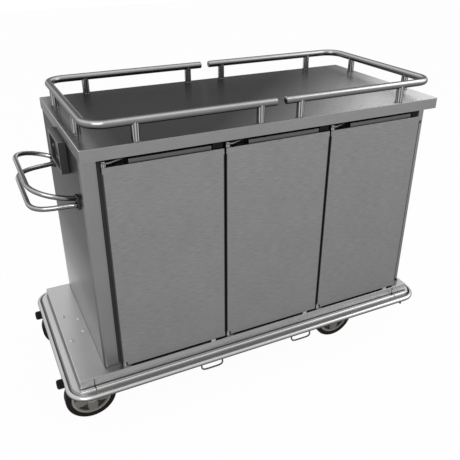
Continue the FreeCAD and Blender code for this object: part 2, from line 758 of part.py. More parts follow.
def build_door(number, x):
    """Door pan with its inner sheet, hinge bushes and grip lip, its core and its seal."""
    right = x + door_width
    axis = Vector(x + hinge_inset, (door_front + door_rear) / 2, 0)
    notches = [box(x - 1, x + hinge_notch_x, door_front - 1, door_rear + 1, z0, z1)
               for z0, z1 in ((door_top - hinge_notch_z, door_top + 1),
                              (door_bottom - 1, door_bottom + hinge_notch_z))]
    sheet = door_sheet
    pan = box(x, right, door_front, door_rear, door_bottom, door_top)
    hollow = box(x + sheet, right - sheet, door_front + sheet, door_rear + 1, door_bottom + sheet,
                 door_top - sheet)
    inner = box(x + sheet, right - sheet, door_rear - sheet, door_rear, door_bottom + sheet, door_top - sheet)
    core = box(x + sheet, right - sheet, door_front + sheet, door_rear - sheet, door_bottom + sheet,
               door_top - sheet)
    pan = pan.cut(hollow)
    for notch in notches:
        pan = pan.cut(notch)
        inner = inner.cut(notch)
        core = core.cut(notch)
    bushes = []
    for z0, z1 in ((door_top - hinge_notch_z, door_top), (door_bottom, door_bottom + hinge_notch_z)):
        low = axis + Vector(0, 0, z0)
        high = axis + Vector(0, 0, z1)
        bore = rod(hinge_pin_radius + running_fit, low - Vector(0, 0, 1), high + Vector(0, 0, 1))
        bushes.append(rod(hinge_bush_radius, low, high).cut(bore))
    grip_front = (door_front + door_rear - grip_thickness) / 2
    grip = box(x + grip_start, right - grip_end, grip_front, grip_front + grip_thickness, door_top,
               door_top + grip_height)
    save("door_%d_shell" % number, [pan, inner, grip] + bushes)
    save("door_%d_core" % number, [core])

    x0 = x + opening_margin - seal_margin
    x1 = x + opening_margin + compartment_width + seal_margin
    z0 = floor_z - seal_margin
    z1 = ceiling_z + seal_margin
    back = cabinet_front - slip
    ring = box(x0 - seal_width, x1 + seal_width, door_rear, back, z0 - seal_width, z1 + seal_width)
    save("door_%d_seal" % number, [ring.cut(box(x0, x1, door_rear - 1, back + 1, z0, z1))])


def build_controls():
    """Control box with its black fascia, display, buttons and rocker, and the parts behind it."""
    y0 = control_centre_y - control_length / 2
    y1 = y0 + control_length
    z1 = cabinet_top - control_drop
    z0 = z1 - control_height
    border = control_border
    outer_x = cabinet_left - control_depth
    save("control_housing", [box(outer_x, cabinet_left, y0, y1, z0, z0 + border),
                             box(outer_x, cabinet_left, y0, y1, z1 - border, z1),
                             box(outer_x, cabinet_left, y0, y0 + border, z0 + border, z1 - border),
                             box(outer_x, cabinet_left, y1 - border, y1, z0 + border, z1 - border)])

    face_x = outer_x + fascia_recess
    back_x = face_x + fascia_thickness
    mid_z = (z0 + z1) / 2
    fascia = box(face_x, back_x, y0 + border, y1 - border, z0 + border, z1 - border)
    button_z = mid_z + button_row
    button_y = [control_centre_y + button_first + i * button_pitch for i in range(len(button_names))]
    for y in button_y:
        fascia = fascia.cut(rod(button_radius + slip, Vector(face_x - 1, y, button_z),
                                Vector(back_x + 1, y, button_z)))
    rocker_centre = Vector((face_x + back_x) / 2, control_centre_y + rocker_y, mid_z)
    fascia = fascia.cut(box(face_x - 1, back_x + 1, rocker_centre.y - rocker_length / 2 - slip,
                            rocker_centre.y + rocker_length / 2 + slip, mid_z - rocker_radius - slip,
                            mid_z + rocker_radius + slip))
    pivot_half = Vector(0, rocker_length / 2 + rocker_pivot_length, 0)
    fascia = fascia.cut(rod(rocker_pivot_radius + running_fit, rocker_centre - pivot_half - Vector(0, 1, 0),
                            rocker_centre + pivot_half + Vector(0, 1, 0)))
    save("control_fascia", [fascia])

    display_y = control_centre_y + button_first
    display_z = mid_z - button_row / 2
    save("display_window", [box(face_x - display_proud, face_x, display_y - button_radius,
                                display_y - button_radius + display_width,
                                display_z - display_height / 2, display_z + display_height / 2)])
    for name, y in zip(button_names, button_y):
        cap = rod(button_radius, Vector(face_x - button_proud, y, button_z),
                  Vector(back_x + slip, y, button_z))
        flange = rod(button_radius + button_flange, Vector(back_x + slip, y, button_z),
                     Vector(back_x + slip + button_flange_height, y, button_z))
        save(name, [cap.fuse(flange).removeSplitter()])
    drum_half = Vector(0, rocker_length / 2, 0)
    drum = rod(rocker_radius, rocker_centre - drum_half, rocker_centre + drum_half)
    dish = box(outer_x - 1, face_x - rocker_radius / 3, rocker_centre.y - rocker_length,
               rocker_centre.y + rocker_length, mid_z - rocker_radius, mid_z)
    pivot = rod(rocker_pivot_radius, rocker_centre - pivot_half, rocker_centre + pivot_half)
    save("power_rocker", [drum.cut(dish).fuse(pivot).removeSplitter()])

    save("control_unit", [box(cabinet_left + skin, cabinet_left + skin + unit_depth,
                              control_centre_y - unit_length / 2, control_centre_y + unit_length / 2,
                              mid_z - unit_height / 2, mid_z + unit_height / 2)])

    inlet_x = cabinet_left + inlet_inset
    inlet_z = deck_top + inlet_rise
    half = inlet_size / 2
    well = half - inlet_wall
    floor = cabinet_rear + inlet_base
    mouth = floor + inlet_well_depth
    socket = [box(inlet_x - half, inlet_x + half, cabinet_rear, floor, inlet_z - half, inlet_z + half),
              box(inlet_x - half, inlet_x + half, floor, mouth, inlet_z - half, inlet_z - well),
              box(inlet_x - half, inlet_x + half, floor, mouth, inlet_z + well, inlet_z + half),
              box(inlet_x - half, inlet_x - well, floor, mouth, inlet_z - well, inlet_z + well),
              box(inlet_x + well, inlet_x + half, floor, mouth, inlet_z - well, inlet_z + well)]
    for turn in (90, 210, 330):
        x = inlet_x + inlet_pin_circle * math.cos(math.radians(turn))
        z = inlet_z + inlet_pin_circle * math.sin(math.radians(turn))
        socket.append(rod(inlet_pin_radius, Vector(x, floor, z), Vector(x, mouth - inlet_pin_short, z)))
    save("power_inlet", socket)


os.makedirs("parts", exist_ok=True)
build_deck()
build_bumper()
build_castors()
build_cabinet()
build_heaters()
build_worktop()
build_handles()
build_hinges()
for index, place in enumerate(door_left):
    build_door(index + 1, place)
build_controls()
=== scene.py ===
import math

import bpy
import numpy as np
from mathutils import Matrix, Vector


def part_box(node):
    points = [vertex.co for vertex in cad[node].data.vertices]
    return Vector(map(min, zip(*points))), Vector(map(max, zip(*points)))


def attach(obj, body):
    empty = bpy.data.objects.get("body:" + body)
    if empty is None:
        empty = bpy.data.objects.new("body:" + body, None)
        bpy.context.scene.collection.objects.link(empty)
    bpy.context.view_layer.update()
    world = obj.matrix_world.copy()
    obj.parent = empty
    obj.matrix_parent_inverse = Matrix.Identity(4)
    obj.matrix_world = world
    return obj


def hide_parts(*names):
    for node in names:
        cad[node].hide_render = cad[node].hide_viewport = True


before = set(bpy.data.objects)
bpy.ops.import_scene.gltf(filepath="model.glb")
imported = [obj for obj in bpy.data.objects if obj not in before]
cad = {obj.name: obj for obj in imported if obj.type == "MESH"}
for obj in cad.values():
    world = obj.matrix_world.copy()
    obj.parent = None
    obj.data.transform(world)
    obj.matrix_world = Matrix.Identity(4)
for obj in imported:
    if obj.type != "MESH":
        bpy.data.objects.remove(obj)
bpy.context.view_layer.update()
along_x, along_y, upwards = (1.0, 0.0, 0.0), (0.0, 1.0, 0.0), (0.0, 0.0, 1.0)
usual_crease, band_crease = 35, 50


# Surfaces

def ring_mesh(name, rings, closed=False):
    """Mesh through stacks of rings, an array of stacks, rings, points and three coordinates.

    Each point joins the next point and the next ring in a four-sided face. The first and the
    last ring of a stack are capped, or joined to each other where the stack is closed.
    """
    stacks, count, points = rings.shape[:3]
    ring = np.arange(count if closed else count - 1)[:, None]
    spot = np.arange(points)[None, :]
    above = (ring + 1) % count
    beside = (spot + 1) % points
    quads = np.stack([ring * points + spot, ring * points + beside,
                      above * points + beside, above * points + spot], axis=-1).reshape(-1, 4)
    first = (np.arange(stacks) * count * points)[:, None, None]
    faces = (quads[None] + first).reshape(-1, 4).tolist()
    if not closed:
        round_once = np.arange(points)
        faces += (round_once[::-1][None] + first[:, 0]).tolist()
        faces += (round_once[None] + first[:, 0] + (count - 1) * points).tolist()
    mesh = bpy.data.meshes.new(name)
    mesh.from_pydata(rings.reshape(-1, 3).tolist(), [], faces)
    return mesh


def outline_rings(corners, radii, insets, steps=5):
    """Right-angled outline with rounded corners, once for each inset.

    At every corner an arc runs about a fixed centre, a radius away from both sides: inside an
    outer corner, where the inset shortens the arc's radius, and outside an inner corner, where
    the inset lengthens it. The corners run counter-clockwise.
    """
    corners = np.asarray(corners, float)
    before = corners - np.roll(corners, 1, axis=0)
    after = np.roll(before, -1, axis=0)
    before = before / np.linalg.norm(before, axis=1)[:, None]
    after = after / np.linalg.norm(after, axis=1)[:, None]
    side = np.sign(before[:, 0] * after[:, 1] - before[:, 1] * after[:, 0])[:, None]
    into_before = np.stack([-before[:, 1], before[:, 0]], axis=1)
    into_after = np.stack([-after[:, 1], after[:, 0]], axis=1)
    radii = np.broadcast_to(np.asarray(radii, float), len(corners))[:, None]
    centres = corners + side * radii * (into_before + into_after)
    turn = np.linspace(0, math.pi / 2, steps)[None, :, None]
    away = -side[:, None] * (into_before[:, None] * np.cos(turn) + into_after[:, None] * np.sin(turn))
    reach = radii[None] - side[None] * np.asarray(insets, float)[:, None, None]
    rings = centres[None, :, None] + reach[:, :, None] * away[None]
    return rings.reshape(len(insets), -1, 2)


def upright_stack(corners, radii, profile, steps=5):
    """Outline in X and Y carried through a profile of (inset, height)."""
    profile = np.asarray(profile, float)
    flat = outline_rings(corners, radii, profile[:, 0], steps)
    height = np.broadcast_to(profile[:, 1][:, None, None], flat.shape[:2] + (1,))
    return np.concatenate([flat, height], axis=2)


def forward_stack(corners, radii, profile):
    """Outline in X and Z carried through a profile of (inset, distance towards -Y)."""
    stack = upright_stack(corners, radii, profile)
    return np.stack([stack[..., 0], -stack[..., 2], stack[..., 1]], axis=-1)


def leftward_stack(corners, radii, profile):
    """Outline in -Y and Z carried through a profile of (inset, distance towards -X)."""
    stack = upright_stack(corners, radii, profile)
    return np.stack([-stack[..., 2], -stack[..., 0], stack[..., 1]], axis=-1)


def rectangle(u0, u1, v0, v1):
    """Four corners of a rectangle, counter-clockwise."""
    return [(u0, v0), (u1, v0), (u1, v1), (u0, v1)]


def quarter_edge(radius, height, steps=5):
    """Profile of a rounded edge: a quarter circle from the side up to the height."""
    turn = np.linspace(0, math.pi / 2, steps)
    return np.stack([radius * (1 - np.cos(turn)), height - radius * (1 - np.sin(turn))], axis=1)


def block_profile(low, high, radius):
    """Profile of a block with rounded edges at both ends."""
    top = quarter_edge(radius, high)
    bottom = top[::-1].copy()
    bottom[:, 1] = low + high - bottom[:, 1]
    return np.concatenate([bottom, top])


def ring_profile(bore, outer, height, bevel):
    """Closed profile of a turned ring with bevelled outer edges."""
    return [(outer, height - bevel), (outer - bevel, height), (bore, height), (bore, 0.0),
            (outer - bevel, 0.0), (outer, bevel)]


def turned_stacks(centres, axis, profile, points=24):
    """Rings turned about an axis: a profile of (radius, distance along) at each of the centres."""
    centres = np.asarray(centres, float)
    profile = np.asarray(profile, float)
    axis = np.asarray(axis, float) / np.linalg.norm(axis)
    nearly_along = 0.9
    across = np.cross(axis, along_y if abs(axis[1]) < nearly_along else along_x)
    across = across / np.linalg.norm(across)
    third = np.cross(axis, across)
    turn = np.linspace(0, 2 * math.pi, points, endpoint=False)[:, None]
    wheel = across * np.cos(turn) + third * np.sin(turn)
    rings = profile[:, 1][:, None, None] * axis + profile[:, 0][:, None, None] * wheel[None]
    return centres[:, None, None] + rings[None]


def tube_rings(line, radius, reference, points=16):
    """Rings of a round tube, square to a line of points; the reference is never along the line."""
    along = np.gradient(line, axis=0)
    along = along / np.linalg.norm(along, axis=1)[:, None]
    side = np.cross(along, reference)
    side = side / np.linalg.norm(side, axis=1)[:, None]
    lift = np.cross(along, side)
    turn = np.linspace(0, 2 * math.pi, points, endpoint=False)[None, :, None]
    return line[:, None] + radius * (side[:, None] * np.cos(turn) + lift[:, None] * np.sin(turn))


def dome_profile(radius, height, steps=5):
    """Profile of a domed head: a quarter ellipse that ends in a small flat."""
    nearly_quarter = 0.48 * math.pi
    turn = np.linspace(0, nearly_quarter, steps)
    return np.stack([radius * np.cos(turn), height * np.sin(turn)], axis=1)


def smooth_sides(mesh):
    """Shade the four-sided faces smooth and the caps flat."""
    sides = np.empty(len(mesh.polygons), np.int32)
    mesh.polygons.foreach_get("loop_total", sides)
    mesh.polygons.foreach_set("use_smooth", sides == 4)


def add_piece(name, mesh, body, finish, replaced=()):
    """Object for a mesh, in one finish, riding on a body and standing for the replaced nodes."""
    mesh.materials.append(finish)
    smooth_sides(mesh)
    piece = bpy.data.objects.new(name, mesh)
    bpy.context.scene.collection.objects.link(piece)
    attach(piece, body)
    if replaced:
        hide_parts(*replaced)
    return piece


def sharpen(piece, degrees=usual_crease):
    """Keep flat faces flat: smooth shading only across edges below the given angle."""
    mesh = piece.data
    mesh.set_sharp_from_angle(angle=math.radians(degrees))
    smooth_sides(mesh)


def add_rings(name, rings, body, finish, replaced=(), closed=False, crease=usual_crease):
    """Piece through stacks of rings, crisp at edges above the crease angle unless that is None."""
    piece = add_piece(name, ring_mesh(name, rings, closed), body, finish, replaced)
    if crease is not None:
        sharpen(piece, crease)
    return piece


# Finishes

def finish_of(name, colour, roughness, grain, shares, metallic=0.0, relief=0.0, specular=0.5,
              shades=(), grazing=0.5, smear=0.0):
    """Material whose colour and roughness follow two noises in Object coordinates.

    The fine noise has one frequency per metre, or one each along X, Y and Z, so a low one along
    an axis draws brushing lines that way. The broad noise is a faint cloudiness about 15 cm
    across. The shares are the swing of the colour with the fine noise, of the colour with the
    broad noise and of the roughness with the fine noise. Each shade is a function that adds nodes
    for one more level to the tree; the shades paint light, shade and reflections into the colour.
    Grazing is the level of a metal seen along its surface, and smear draws its reflections out
    along Y.
    """
    grain_share, broad_share, rough_share = shares
    finish = bpy.data.materials.new(name)
    finish.use_nodes = True
    tree = finish.node_tree
    shader = tree.nodes["Principled BSDF"]
    shader.inputs["Metallic"].default_value = metallic
    shader.inputs["Specular IOR Level"].default_value = specular
    if metallic > 0:
        shader.inputs["Specular Tint"].default_value = (grazing, grazing, grazing, 1.0)
    if smear > 0:
        across = tree.nodes.new("ShaderNodeCombineXYZ")
        across.inputs["Y"].default_value = 1.0
        shader.inputs["Anisotropic"].default_value = smear
        tree.links.new(across.outputs[0], shader.inputs["Tangent"])
    place = tree.nodes.new("ShaderNodeTexCoord")
    stretch = tree.nodes.new("ShaderNodeMapping")
    stretch.inputs["Scale"].default_value = np.broadcast_to(grain, 3).tolist()
    tree.links.new(place.outputs["Object"], stretch.inputs["Vector"])
    fine = noise_node(tree, stretch.outputs["Vector"], scale=1.0, detail=3.0)
    broad = noise_node(tree, place.outputs["Object"], scale=6.5, detail=2.0)
    level = math_node(tree, "MULTIPLY", spread_node(tree, fine, 1 - grain_share, 1 + grain_share),
                      spread_node(tree, broad, 1 - broad_share, 1 + broad_share))
    for shade in shades:
        level = math_node(tree, "MULTIPLY", level, shade(tree, place))
    tint = tree.nodes.new("ShaderNodeVectorMath")
    tint.operation = "SCALE"
    tint.inputs[0].default_value = colour
    tree.links.new(level, tint.inputs["Scale"])
    tree.links.new(tint.outputs[0], shader.inputs["Base Color"])
    rough = spread_node(tree, fine, roughness - rough_share, roughness + rough_share)
    tree.links.new(rough, shader.inputs["Roughness"])
    if relief > 0:
        bump = tree.nodes.new("ShaderNodeBump")
        bump.inputs["Strength"].default_value = relief
        bump.inputs["Distance"].default_value = 0.0004
        tree.links.new(fine, bump.inputs["Height"])
        tree.links.new(bump.outputs["Normal"], shader.inputs["Normal"])
    return finish


def math_node(tree, operation, *values):
    """Output of a Math node; each value is a socket or a plain number."""
    node = tree.nodes.new("ShaderNodeMath")
    node.operation = operation
    for socket, value in zip(node.inputs, values):
        if isinstance(value, bpy.types.NodeSocket):
            tree.links.new(value, socket)
        else:
            socket.default_value = value
    return node.outputs[0]


def parts_of(tree, vector):
    """Outputs X, Y and Z of a vector."""
    split = tree.nodes.new("ShaderNodeSeparateXYZ")
    tree.links.new(vector, split.inputs[0])
    return split.outputs


def noise_node(tree, vector, scale, detail):
    """Output of a noise texture on the given coordinates."""
    noise = tree.nodes.new("ShaderNodeTexNoise")
    noise.inputs["Scale"].default_value = scale
    noise.inputs["Detail"].default_value = detail
    noise.inputs["Roughness"].default_value = 0.6
    tree.links.new(vector, noise.inputs["Vector"])
    return noise.outputs["Fac"]


def spread_node(tree, value, low, high):
    """Output of a Map Range that takes the middle of a noise to the range from low to high."""
    spread = tree.nodes.new("ShaderNodeMapRange")
    spread.inputs["From Min"].default_value = 0.3
    spread.inputs["From Max"].default_value = 0.7
    spread.inputs["To Min"].default_value = low
    spread.inputs["To Max"].default_value = high
    tree.links.new(value, spread.inputs["Value"])
    return spread.outputs["Result"]


def ramp_node(tree, value, stops):
    """Levels at given places of a value: a list of (place, level), in rising order."""
    reach = tree.nodes.new("ShaderNodeMapRange")
    start, end = stops[0][0], stops[-1][0]
    reach.inputs["From Min"].default_value = start
    reach.inputs["From Max"].default_value = end
    tree.links.new(value, reach.inputs["Value"])
    ramp = tree.nodes.new("ShaderNodeValToRGB")
    points = ramp.color_ramp.elements
    for number, level in ((0, stops[0][1]), (1, stops[-1][1])):
        points[number].position = number
        points[number].color = (level, level, level, 1.0)
    for place, level in stops[1:-1]:
        points.new((place - start) / (end - start)).color = (level, level, level, 1.0)
    tree.links.new(reach.outputs["Result"], ramp.inputs["Fac"])
    return ramp.outputs["Color"]


def along_line(direction, stops):
    """Shade with levels at given distances along a direction in Object coordinates."""
    def shade(tree, place):
        product = tree.nodes.new("ShaderNodeVectorMath")
        product.operation = "DOT_PRODUCT"
        product.inputs[1].default_value = direction
        tree.links.new(place.outputs["Object"], product.inputs[0])
        return ramp_node(tree, product.outputs["Value"], stops)
    return shade


def lengthwise_painted_light(stops):
    """Painted highlight and shade along a lying tube, by the height of the surface normal, -1 to 1."""
    def shade(tree, place):
        return ramp_node(tree, parts_of(tree, place.outputs["Normal"])[2], stops)
    return shade


def upright_painted_streaks(count, low, high):
    """Painted reflection streaks along a standing tube: a sine of the normal's direction in plan."""
    def shade(tree, place):
        turned = parts_of(tree, place.outputs["Normal"])
        angle = math_node(tree, "ARCTAN2", turned[1], turned[0])
        wave = math_node(tree, "SINE", math_node(tree, "MULTIPLY", angle, float(count)))
        return math_node(tree, "MULTIPLY_ADD", wave, (high - low) / 2, (high + low) / 2)
    return shade


def window_painted_shade(tree, place):
    """Painted shade that darkens the wheel covers in their windows, where the recess attribute rises."""
    deep = tree.nodes.new("ShaderNodeAttribute")
    deep.attribute_name = "recess"
    darkest = 0.14
    return math_node(tree, "MULTIPLY_ADD", deep.outputs["Fac"], darkest - 1.0, 1.0)


def grey(value):
    """Neutral grey."""
    return (value, value, value)


def metal(name, value, roughness, grain, shares, relief=0.0, shades=()):
    """Grey metal without a direction."""
    return finish_of(name, grey(value), roughness, grain, shares, metallic=1.0, relief=relief, shades=shades)


def brushed(name, value, roughness, along, grain_share=0.06, shades=(), grazing=0.5, smear=0.0):
    """Brushed stainless sheet with its grain along one axis."""
    along_grain, across_grain = 32.0, 420.0
    grain = [along_grain if axis == along else across_grain for axis in "xyz"]
    shares = (grain_share, 0.03, 0.05)
    return finish_of(name, grey(value), roughness, grain, shares, metallic=1.0, relief=0.06, shades=shades,
                     grazing=grazing, smear=smear)


# Painted reflections: a bright streak high on lying tubes and painted shade on their undersides.
tube_painted_streaks = lengthwise_painted_light([(-1.0, 0.04), (-0.6, 0.055), (-0.3, 0.10), (0.07, 0.19), (0.37, 0.24),
                         (0.62, 0.50), (0.80, 0.48), (0.93, 0.20), (1.0, 0.10)])
# Painted reflection streaks round the standing posts.
post_painted_streaks = upright_painted_streaks(count=10, low=0.08, high=0.46)
# Painted highlight on the bumper's upper faces and painted shade on its underside.
bumper_painted_light = lengthwise_painted_light([(-1.0, 0.06), (-0.3, 0.08), (0.0, 0.12), (0.3, 0.34), (0.6, 0.54), (1.0, 0.56)])
# Painted shade: the doors a little darker towards the bottom.
door_painted_shade = along_line(upwards, [(0.23, 0.88), (0.96, 1.04)])
# Painted reflection: the left end panel dark at the top and light at the foot.
end_painted_reflection = along_line(upwards, [(0.23, 6.2), (0.45, 2.8), (0.65, 1.08), (0.95, 0.50)])
# Painted shade: the rear and right end panels darker towards the top.
back_painted_shade = along_line(upwards, [(0.23, 1.2), (0.95, 0.88)])
# Painted shade: the front frame darker towards the bottom.
frame_painted_shade = along_line(upwards, [(0.23, 0.84), (0.95, 1.04)])
# Painted light: the deck's skirt lighter towards its foot.
skirt_painted_light = along_line(upwards, [(0.193, 2.4), (0.205, 1.7), (0.226, 0.95)])
# Painted shade: the domed fixings above half a metre much darker than those on the deck.
dome_painted_shade = along_line(upwards, [(0.22, 1.0), (0.50, 1.0), (0.60, 0.2), (1.0, 0.2)])
# Painted reflection: the bumper's groove and the deck's foot lighter at the far left end.
left_painted_reflection = along_line(along_x, [(-0.705, 2.6), (-0.685, 2.2), (-0.665, 1.0), (0.70, 1.0)])
# Painted light: the push handles lighter towards their far arms.
handle_painted_light = along_line(along_y, [(-0.16, 1.0), (0.02, 1.15), (0.20, 1.9)])
# Painted reflection: the worktop's top lighter towards the front right.
top_painted_reflection = along_line((1, -1, 0), [(0.11, 0.95), (0.23, 1.5), (0.35, 2.3), (0.47, 3.6), (0.59, 5.8),
                                    (0.71, 8.8), (0.80, 10.0), (0.97, 11.2)])
# Painted reflection: a lighter strip along the worktop's left end.
top_end_painted_reflection = along_line(along_x, [(-0.59, 5.2), (-0.555, 3.0), (-0.52, 1.55), (-0.46, 1.0),
                                     (0.70, 1.0)])
first_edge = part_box("door_1_shell")[0][0]
# Painted light: the dark edge strips lighter on the first door's left side.
door_edge_painted_light = along_line(along_x, [(first_edge, 3.4), (first_edge + 0.02, 3.4), (first_edge + 0.03, 1.0)])
# Painted light: the black gap strips lighter beside the first door's left edge.
gap_painted_light = along_line(along_x, [(first_edge - 0.010, 3.0), (first_edge - 0.0086, 3.0),
                                 (first_edge - 0.0076, 8.0), (first_edge + 0.004, 8.0),
                                 (first_edge + 0.020, 1.0)])

door_steel = brushed("door_steel", 0.235, 0.34, "x", 0.16, [door_painted_shade])
end_steel = brushed("end_steel", 0.125, 0.36, "z", 0.08, [end_painted_reflection])
back_steel = brushed("back_steel", 0.19, 0.36, "z", 0.06, [back_painted_shade])
# Painted shade: the grip lip darker than the doors' steel, for the slot under the worktop.
lip_shaded_steel = brushed("lip_shaded_steel", 0.115, 0.36, "x", 0.05)
frame_steel = brushed("frame_steel", 0.225, 0.34, "z", 0.04, [frame_painted_shade])
skirt_steel = brushed("skirt_steel", 0.25, 0.32, "x")
# The dark level and both ramps paint the reflections on the worktop's top.
top_steel = brushed("top_steel", 0.088, 0.30, "x", 0.05, [top_painted_reflection, top_end_painted_reflection], grazing=0.42, smear=0.8)
# Painted highlight along the worktop's rounded left edge.
edge_painted_highlight = brushed("edge_painted_highlight", 0.62, 0.25, "y", 0.03)
deck_steel = brushed("deck_steel", 0.52, 0.36, "y", 0.03)
deck_skirt_steel = brushed("deck_skirt_steel", 0.29, 0.34, "x", 0.05, [skirt_painted_light])
liner_steel = brushed("liner_steel", 0.48, 0.36, "y", 0.05)

bumper_steel = metal("bumper_steel", 1.0, 0.24, 300, (0.03, 0.03, 0.04), shades=[bumper_painted_light])
rib_steel = metal("rib_steel", 0.58, 0.26, 300, (0.03, 0.03, 0.04))
# Dark steel in the bumper's groove: painted reflection.
groove_shade_steel = metal("groove_shade_steel", 0.115, 0.34, 300, (0.05, 0.04, 0.05), shades=[left_painted_reflection])
# Dark steel for the painted shadow along the deck's foot, also used for the post welds.
foot_steel = metal("foot_steel", 0.15, 0.4, 300, (0.06, 0.05, 0.05), shades=[left_painted_reflection])
tube_steel = metal("tube_steel", 1.0, 0.22, 60, (0.04, 0.03, 0.03), shades=[tube_painted_streaks])
post_steel = metal("post_steel", 1.0, 0.22, 60, (0.04, 0.03, 0.03), shades=[post_painted_streaks])
handle_steel = metal("handle_steel", 1.0, 0.22, 60, (0.04, 0.03, 0.03), shades=[tube_painted_streaks, handle_painted_light])
dark_tube_steel = metal("dark_tube_steel", 0.09, 0.3, 60, (0.05, 0.03, 0.04))
zinc_steel = metal("zinc_steel", 0.22, 0.42, 180, (0.10, 0.06, 0.08), relief=0.05)
pin_steel = metal("pin_steel", 0.36, 0.3, 250, (0.06, 0.03, 0.04))
dome_steel = metal("dome_steel", 0.58, 0.5, 250, (0.06, 0.03, 0.04), shades=[dome_painted_shade])
bracket_steel = metal("bracket_steel", 0.10, 0.4, 180, (0.08, 0.05, 0.06))
heater_steel = finish_of("heater_steel", (0.13, 0.12, 0.115), 0.42, 90, (0.12, 0.1, 0.06), metallic=1.0)

black_rubber = finish_of("black_rubber", grey(0.005), 0.75, 700, (0.2, 0.12, 0.06), relief=0.15,
                         specular=0.15)
# Near-black for the door edge strips: painted shade in the gaps beside the doors.
door_edge_painted_shade = finish_of("door_edge_painted_shade", grey(0.012), 0.6, (500, 500, 60), (0.12, 0.06, 0.05), relief=0.08,
                        specular=0.3, shades=[door_edge_painted_light])
# Black for painted shadows in the door gaps, behind the lower hinges and under the doors.
gap_painted_shade = finish_of("gap_painted_shade", grey(0.005), 0.75, 700, (0.2, 0.12, 0.06), relief=0.15, specular=0.15,
                       shades=[gap_painted_light])
sealant = finish_of("sealant", grey(0.006), 0.7, 300, (0.12, 0.06, 0.06), relief=0.1, specular=0.1)
tyre_rubber = finish_of("tyre_rubber", (0.0095, 0.0085, 0.007), 0.8, 450, (0.25, 0.2, 0.08), relief=0.2,
                        specular=0.12)
rim_plastic = finish_of("rim_plastic", (0.30, 0.285, 0.26), 0.5, 350, (0.06, 0.06, 0.06), relief=0.05)
cover_plastic = finish_of("cover_plastic", (0.165, 0.155, 0.14), 0.55, 350, (0.08, 0.08, 0.06), relief=0.05,
                          specular=0.3, shades=[window_painted_shade])
black_plastic = finish_of("black_plastic", (0.010, 0.010, 0.011), 0.55, 900, (0.12, 0.05, 0.06), relief=0.12,
                          specular=0.08)
box_plastic = finish_of("box_plastic", grey(0.040), 0.45, 900, (0.08, 0.04, 0.06), relief=0.1, specular=0.3)
pale_nylon = finish_of("pale_nylon", (0.42, 0.41, 0.39), 0.48, 500, (0.04, 0.05, 0.06), relief=0.05)
button_plastic = finish_of("button_plastic", (0.13, 0.135, 0.14), 0.5, 900, (0.05, 0.03, 0.05), relief=0.06,
                           specular=0.15)
rocker_plastic = finish_of("rocker_plastic", grey(0.055), 0.45, 900, (0.08, 0.04, 0.05), relief=0.06,
                           specular=0.3)
display_glass = finish_of("display_glass", (0.010, 0.014, 0.016), 0.3, 40, (0.1, 0.1, 0.04), specular=0.12)
wool_slab = finish_of("wool_slab", (0.55, 0.50, 0.36), 0.92, 160, (0.2, 0.12, 0.04), relief=0.5, specular=0.2)

finishes = {
    door_steel: ["door_1_shell", "door_2_shell", "door_3_shell"],
    end_steel: ["left_end_lower_panel", "left_end_upper_panel"],
    back_steel: ["right_end_panel", "rear_panel"],
    frame_steel: ["front_frame", "cabinet_base"],
    top_steel: ["worktop"],
    deck_steel: ["base_deck"],
    bumper_steel: ["bumper_rails", "bumper_corners"],
    liner_steel: ["compartment_liners", "tray_racks", "heater_covers"],
    tube_steel: ["left_gallery_rail", "right_gallery_rail", "upper_push_handle", "lower_push_handle"],
    post_steel: ["gallery_posts"],
    dark_tube_steel: ["strap_loops"],
    zinc_steel: ["chassis_beams", "castor_plates", "swivel_fork_front", "swivel_fork_rear",
                 "fixed_forks", "hinge_plates"],
    pin_steel: ["hinge_pins"],
    dome_steel: ["domed_fixings"],
    bracket_steel: ["handle_brackets"],
    heater_steel: ["heating_elements"],
    black_rubber: ["rubber_buffers", "door_1_seal", "door_2_seal", "door_3_seal"],
    tyre_rubber: ["swivel_tyre_front", "swivel_tyre_rear", "fixed_tyre_front", "fixed_tyre_rear"],
    rim_plastic: ["swivel_rim_front", "swivel_rim_rear", "fixed_rim_front", "fixed_rim_rear"],
    black_plastic: ["control_fascia", "control_unit", "power_inlet", "door_catches"],
    rocker_plastic: ["power_rocker"],
    box_plastic: ["control_housing"],
    pale_nylon: ["door_glides"],
    button_plastic: ["button_down", "button_up", "button_timer"],
    display_glass: ["display_window"],
    wool_slab: ["insulation_slabs", "worktop_core", "door_1_core", "door_2_core", "door_3_core"],
}
for finish, names in finishes.items():
    for name in names:
        cad[name].data.materials.clear()
        cad[name].data.materials.append(finish)


# Worktop and deck: folded sheets with rounded edges

def folded_lid(name, node, sheet, top_finish, side_finish):
    """Tray turned upside down: inside wall, lower lip, outside wall, rounded edge and flat top.

    The outline is the node's own rectangle. Faces that look up take the top's finish, a level of
    its own that paints the light and reflections on the top, and the rounded edge on the left
    takes a painted highlight.
    """
    corner, edge = 0.004, 0.0025
    low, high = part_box(node)
    profile = [(sheet, high[2] - sheet), (sheet, low[2]), (0.0, low[2])]
    profile += quarter_edge(edge, high[2]).tolist()
    stack = upright_stack(rectangle(low[0], high[0], low[1], high[1]), corner, profile)
    piece = add_rings(name, stack[None], "chassis", side_finish, [node], crease=None)
    piece.data.materials.append(top_finish)
    piece.data.materials.append(edge_painted_highlight)
    normals = np.empty(3 * len(piece.data.polygons))
    piece.data.polygons.foreach_get("normal", normals)
    normals = normals.reshape(-1, 3)
    nearly_up, slanted = 0.9, 0.25
    slot = np.where(normals[:, 2] > nearly_up, 1, 0)
    # The rounded left edge takes the painted highlight.
    slot = np.where((normals[:, 0] < -slanted) & (normals[:, 2] > slanted), 2, slot)
    piece.data.polygons.foreach_set("material_index", slot.astype(np.int32))
    sharpen(piece)


folded_lid("worktop_sheet", "worktop", 0.002, top_steel, skirt_steel)
folded_lid("deck_sheet", "base_deck", 0.0025, deck_steel, deck_skirt_steel)


# Front frame: posts, header, sill and partitions

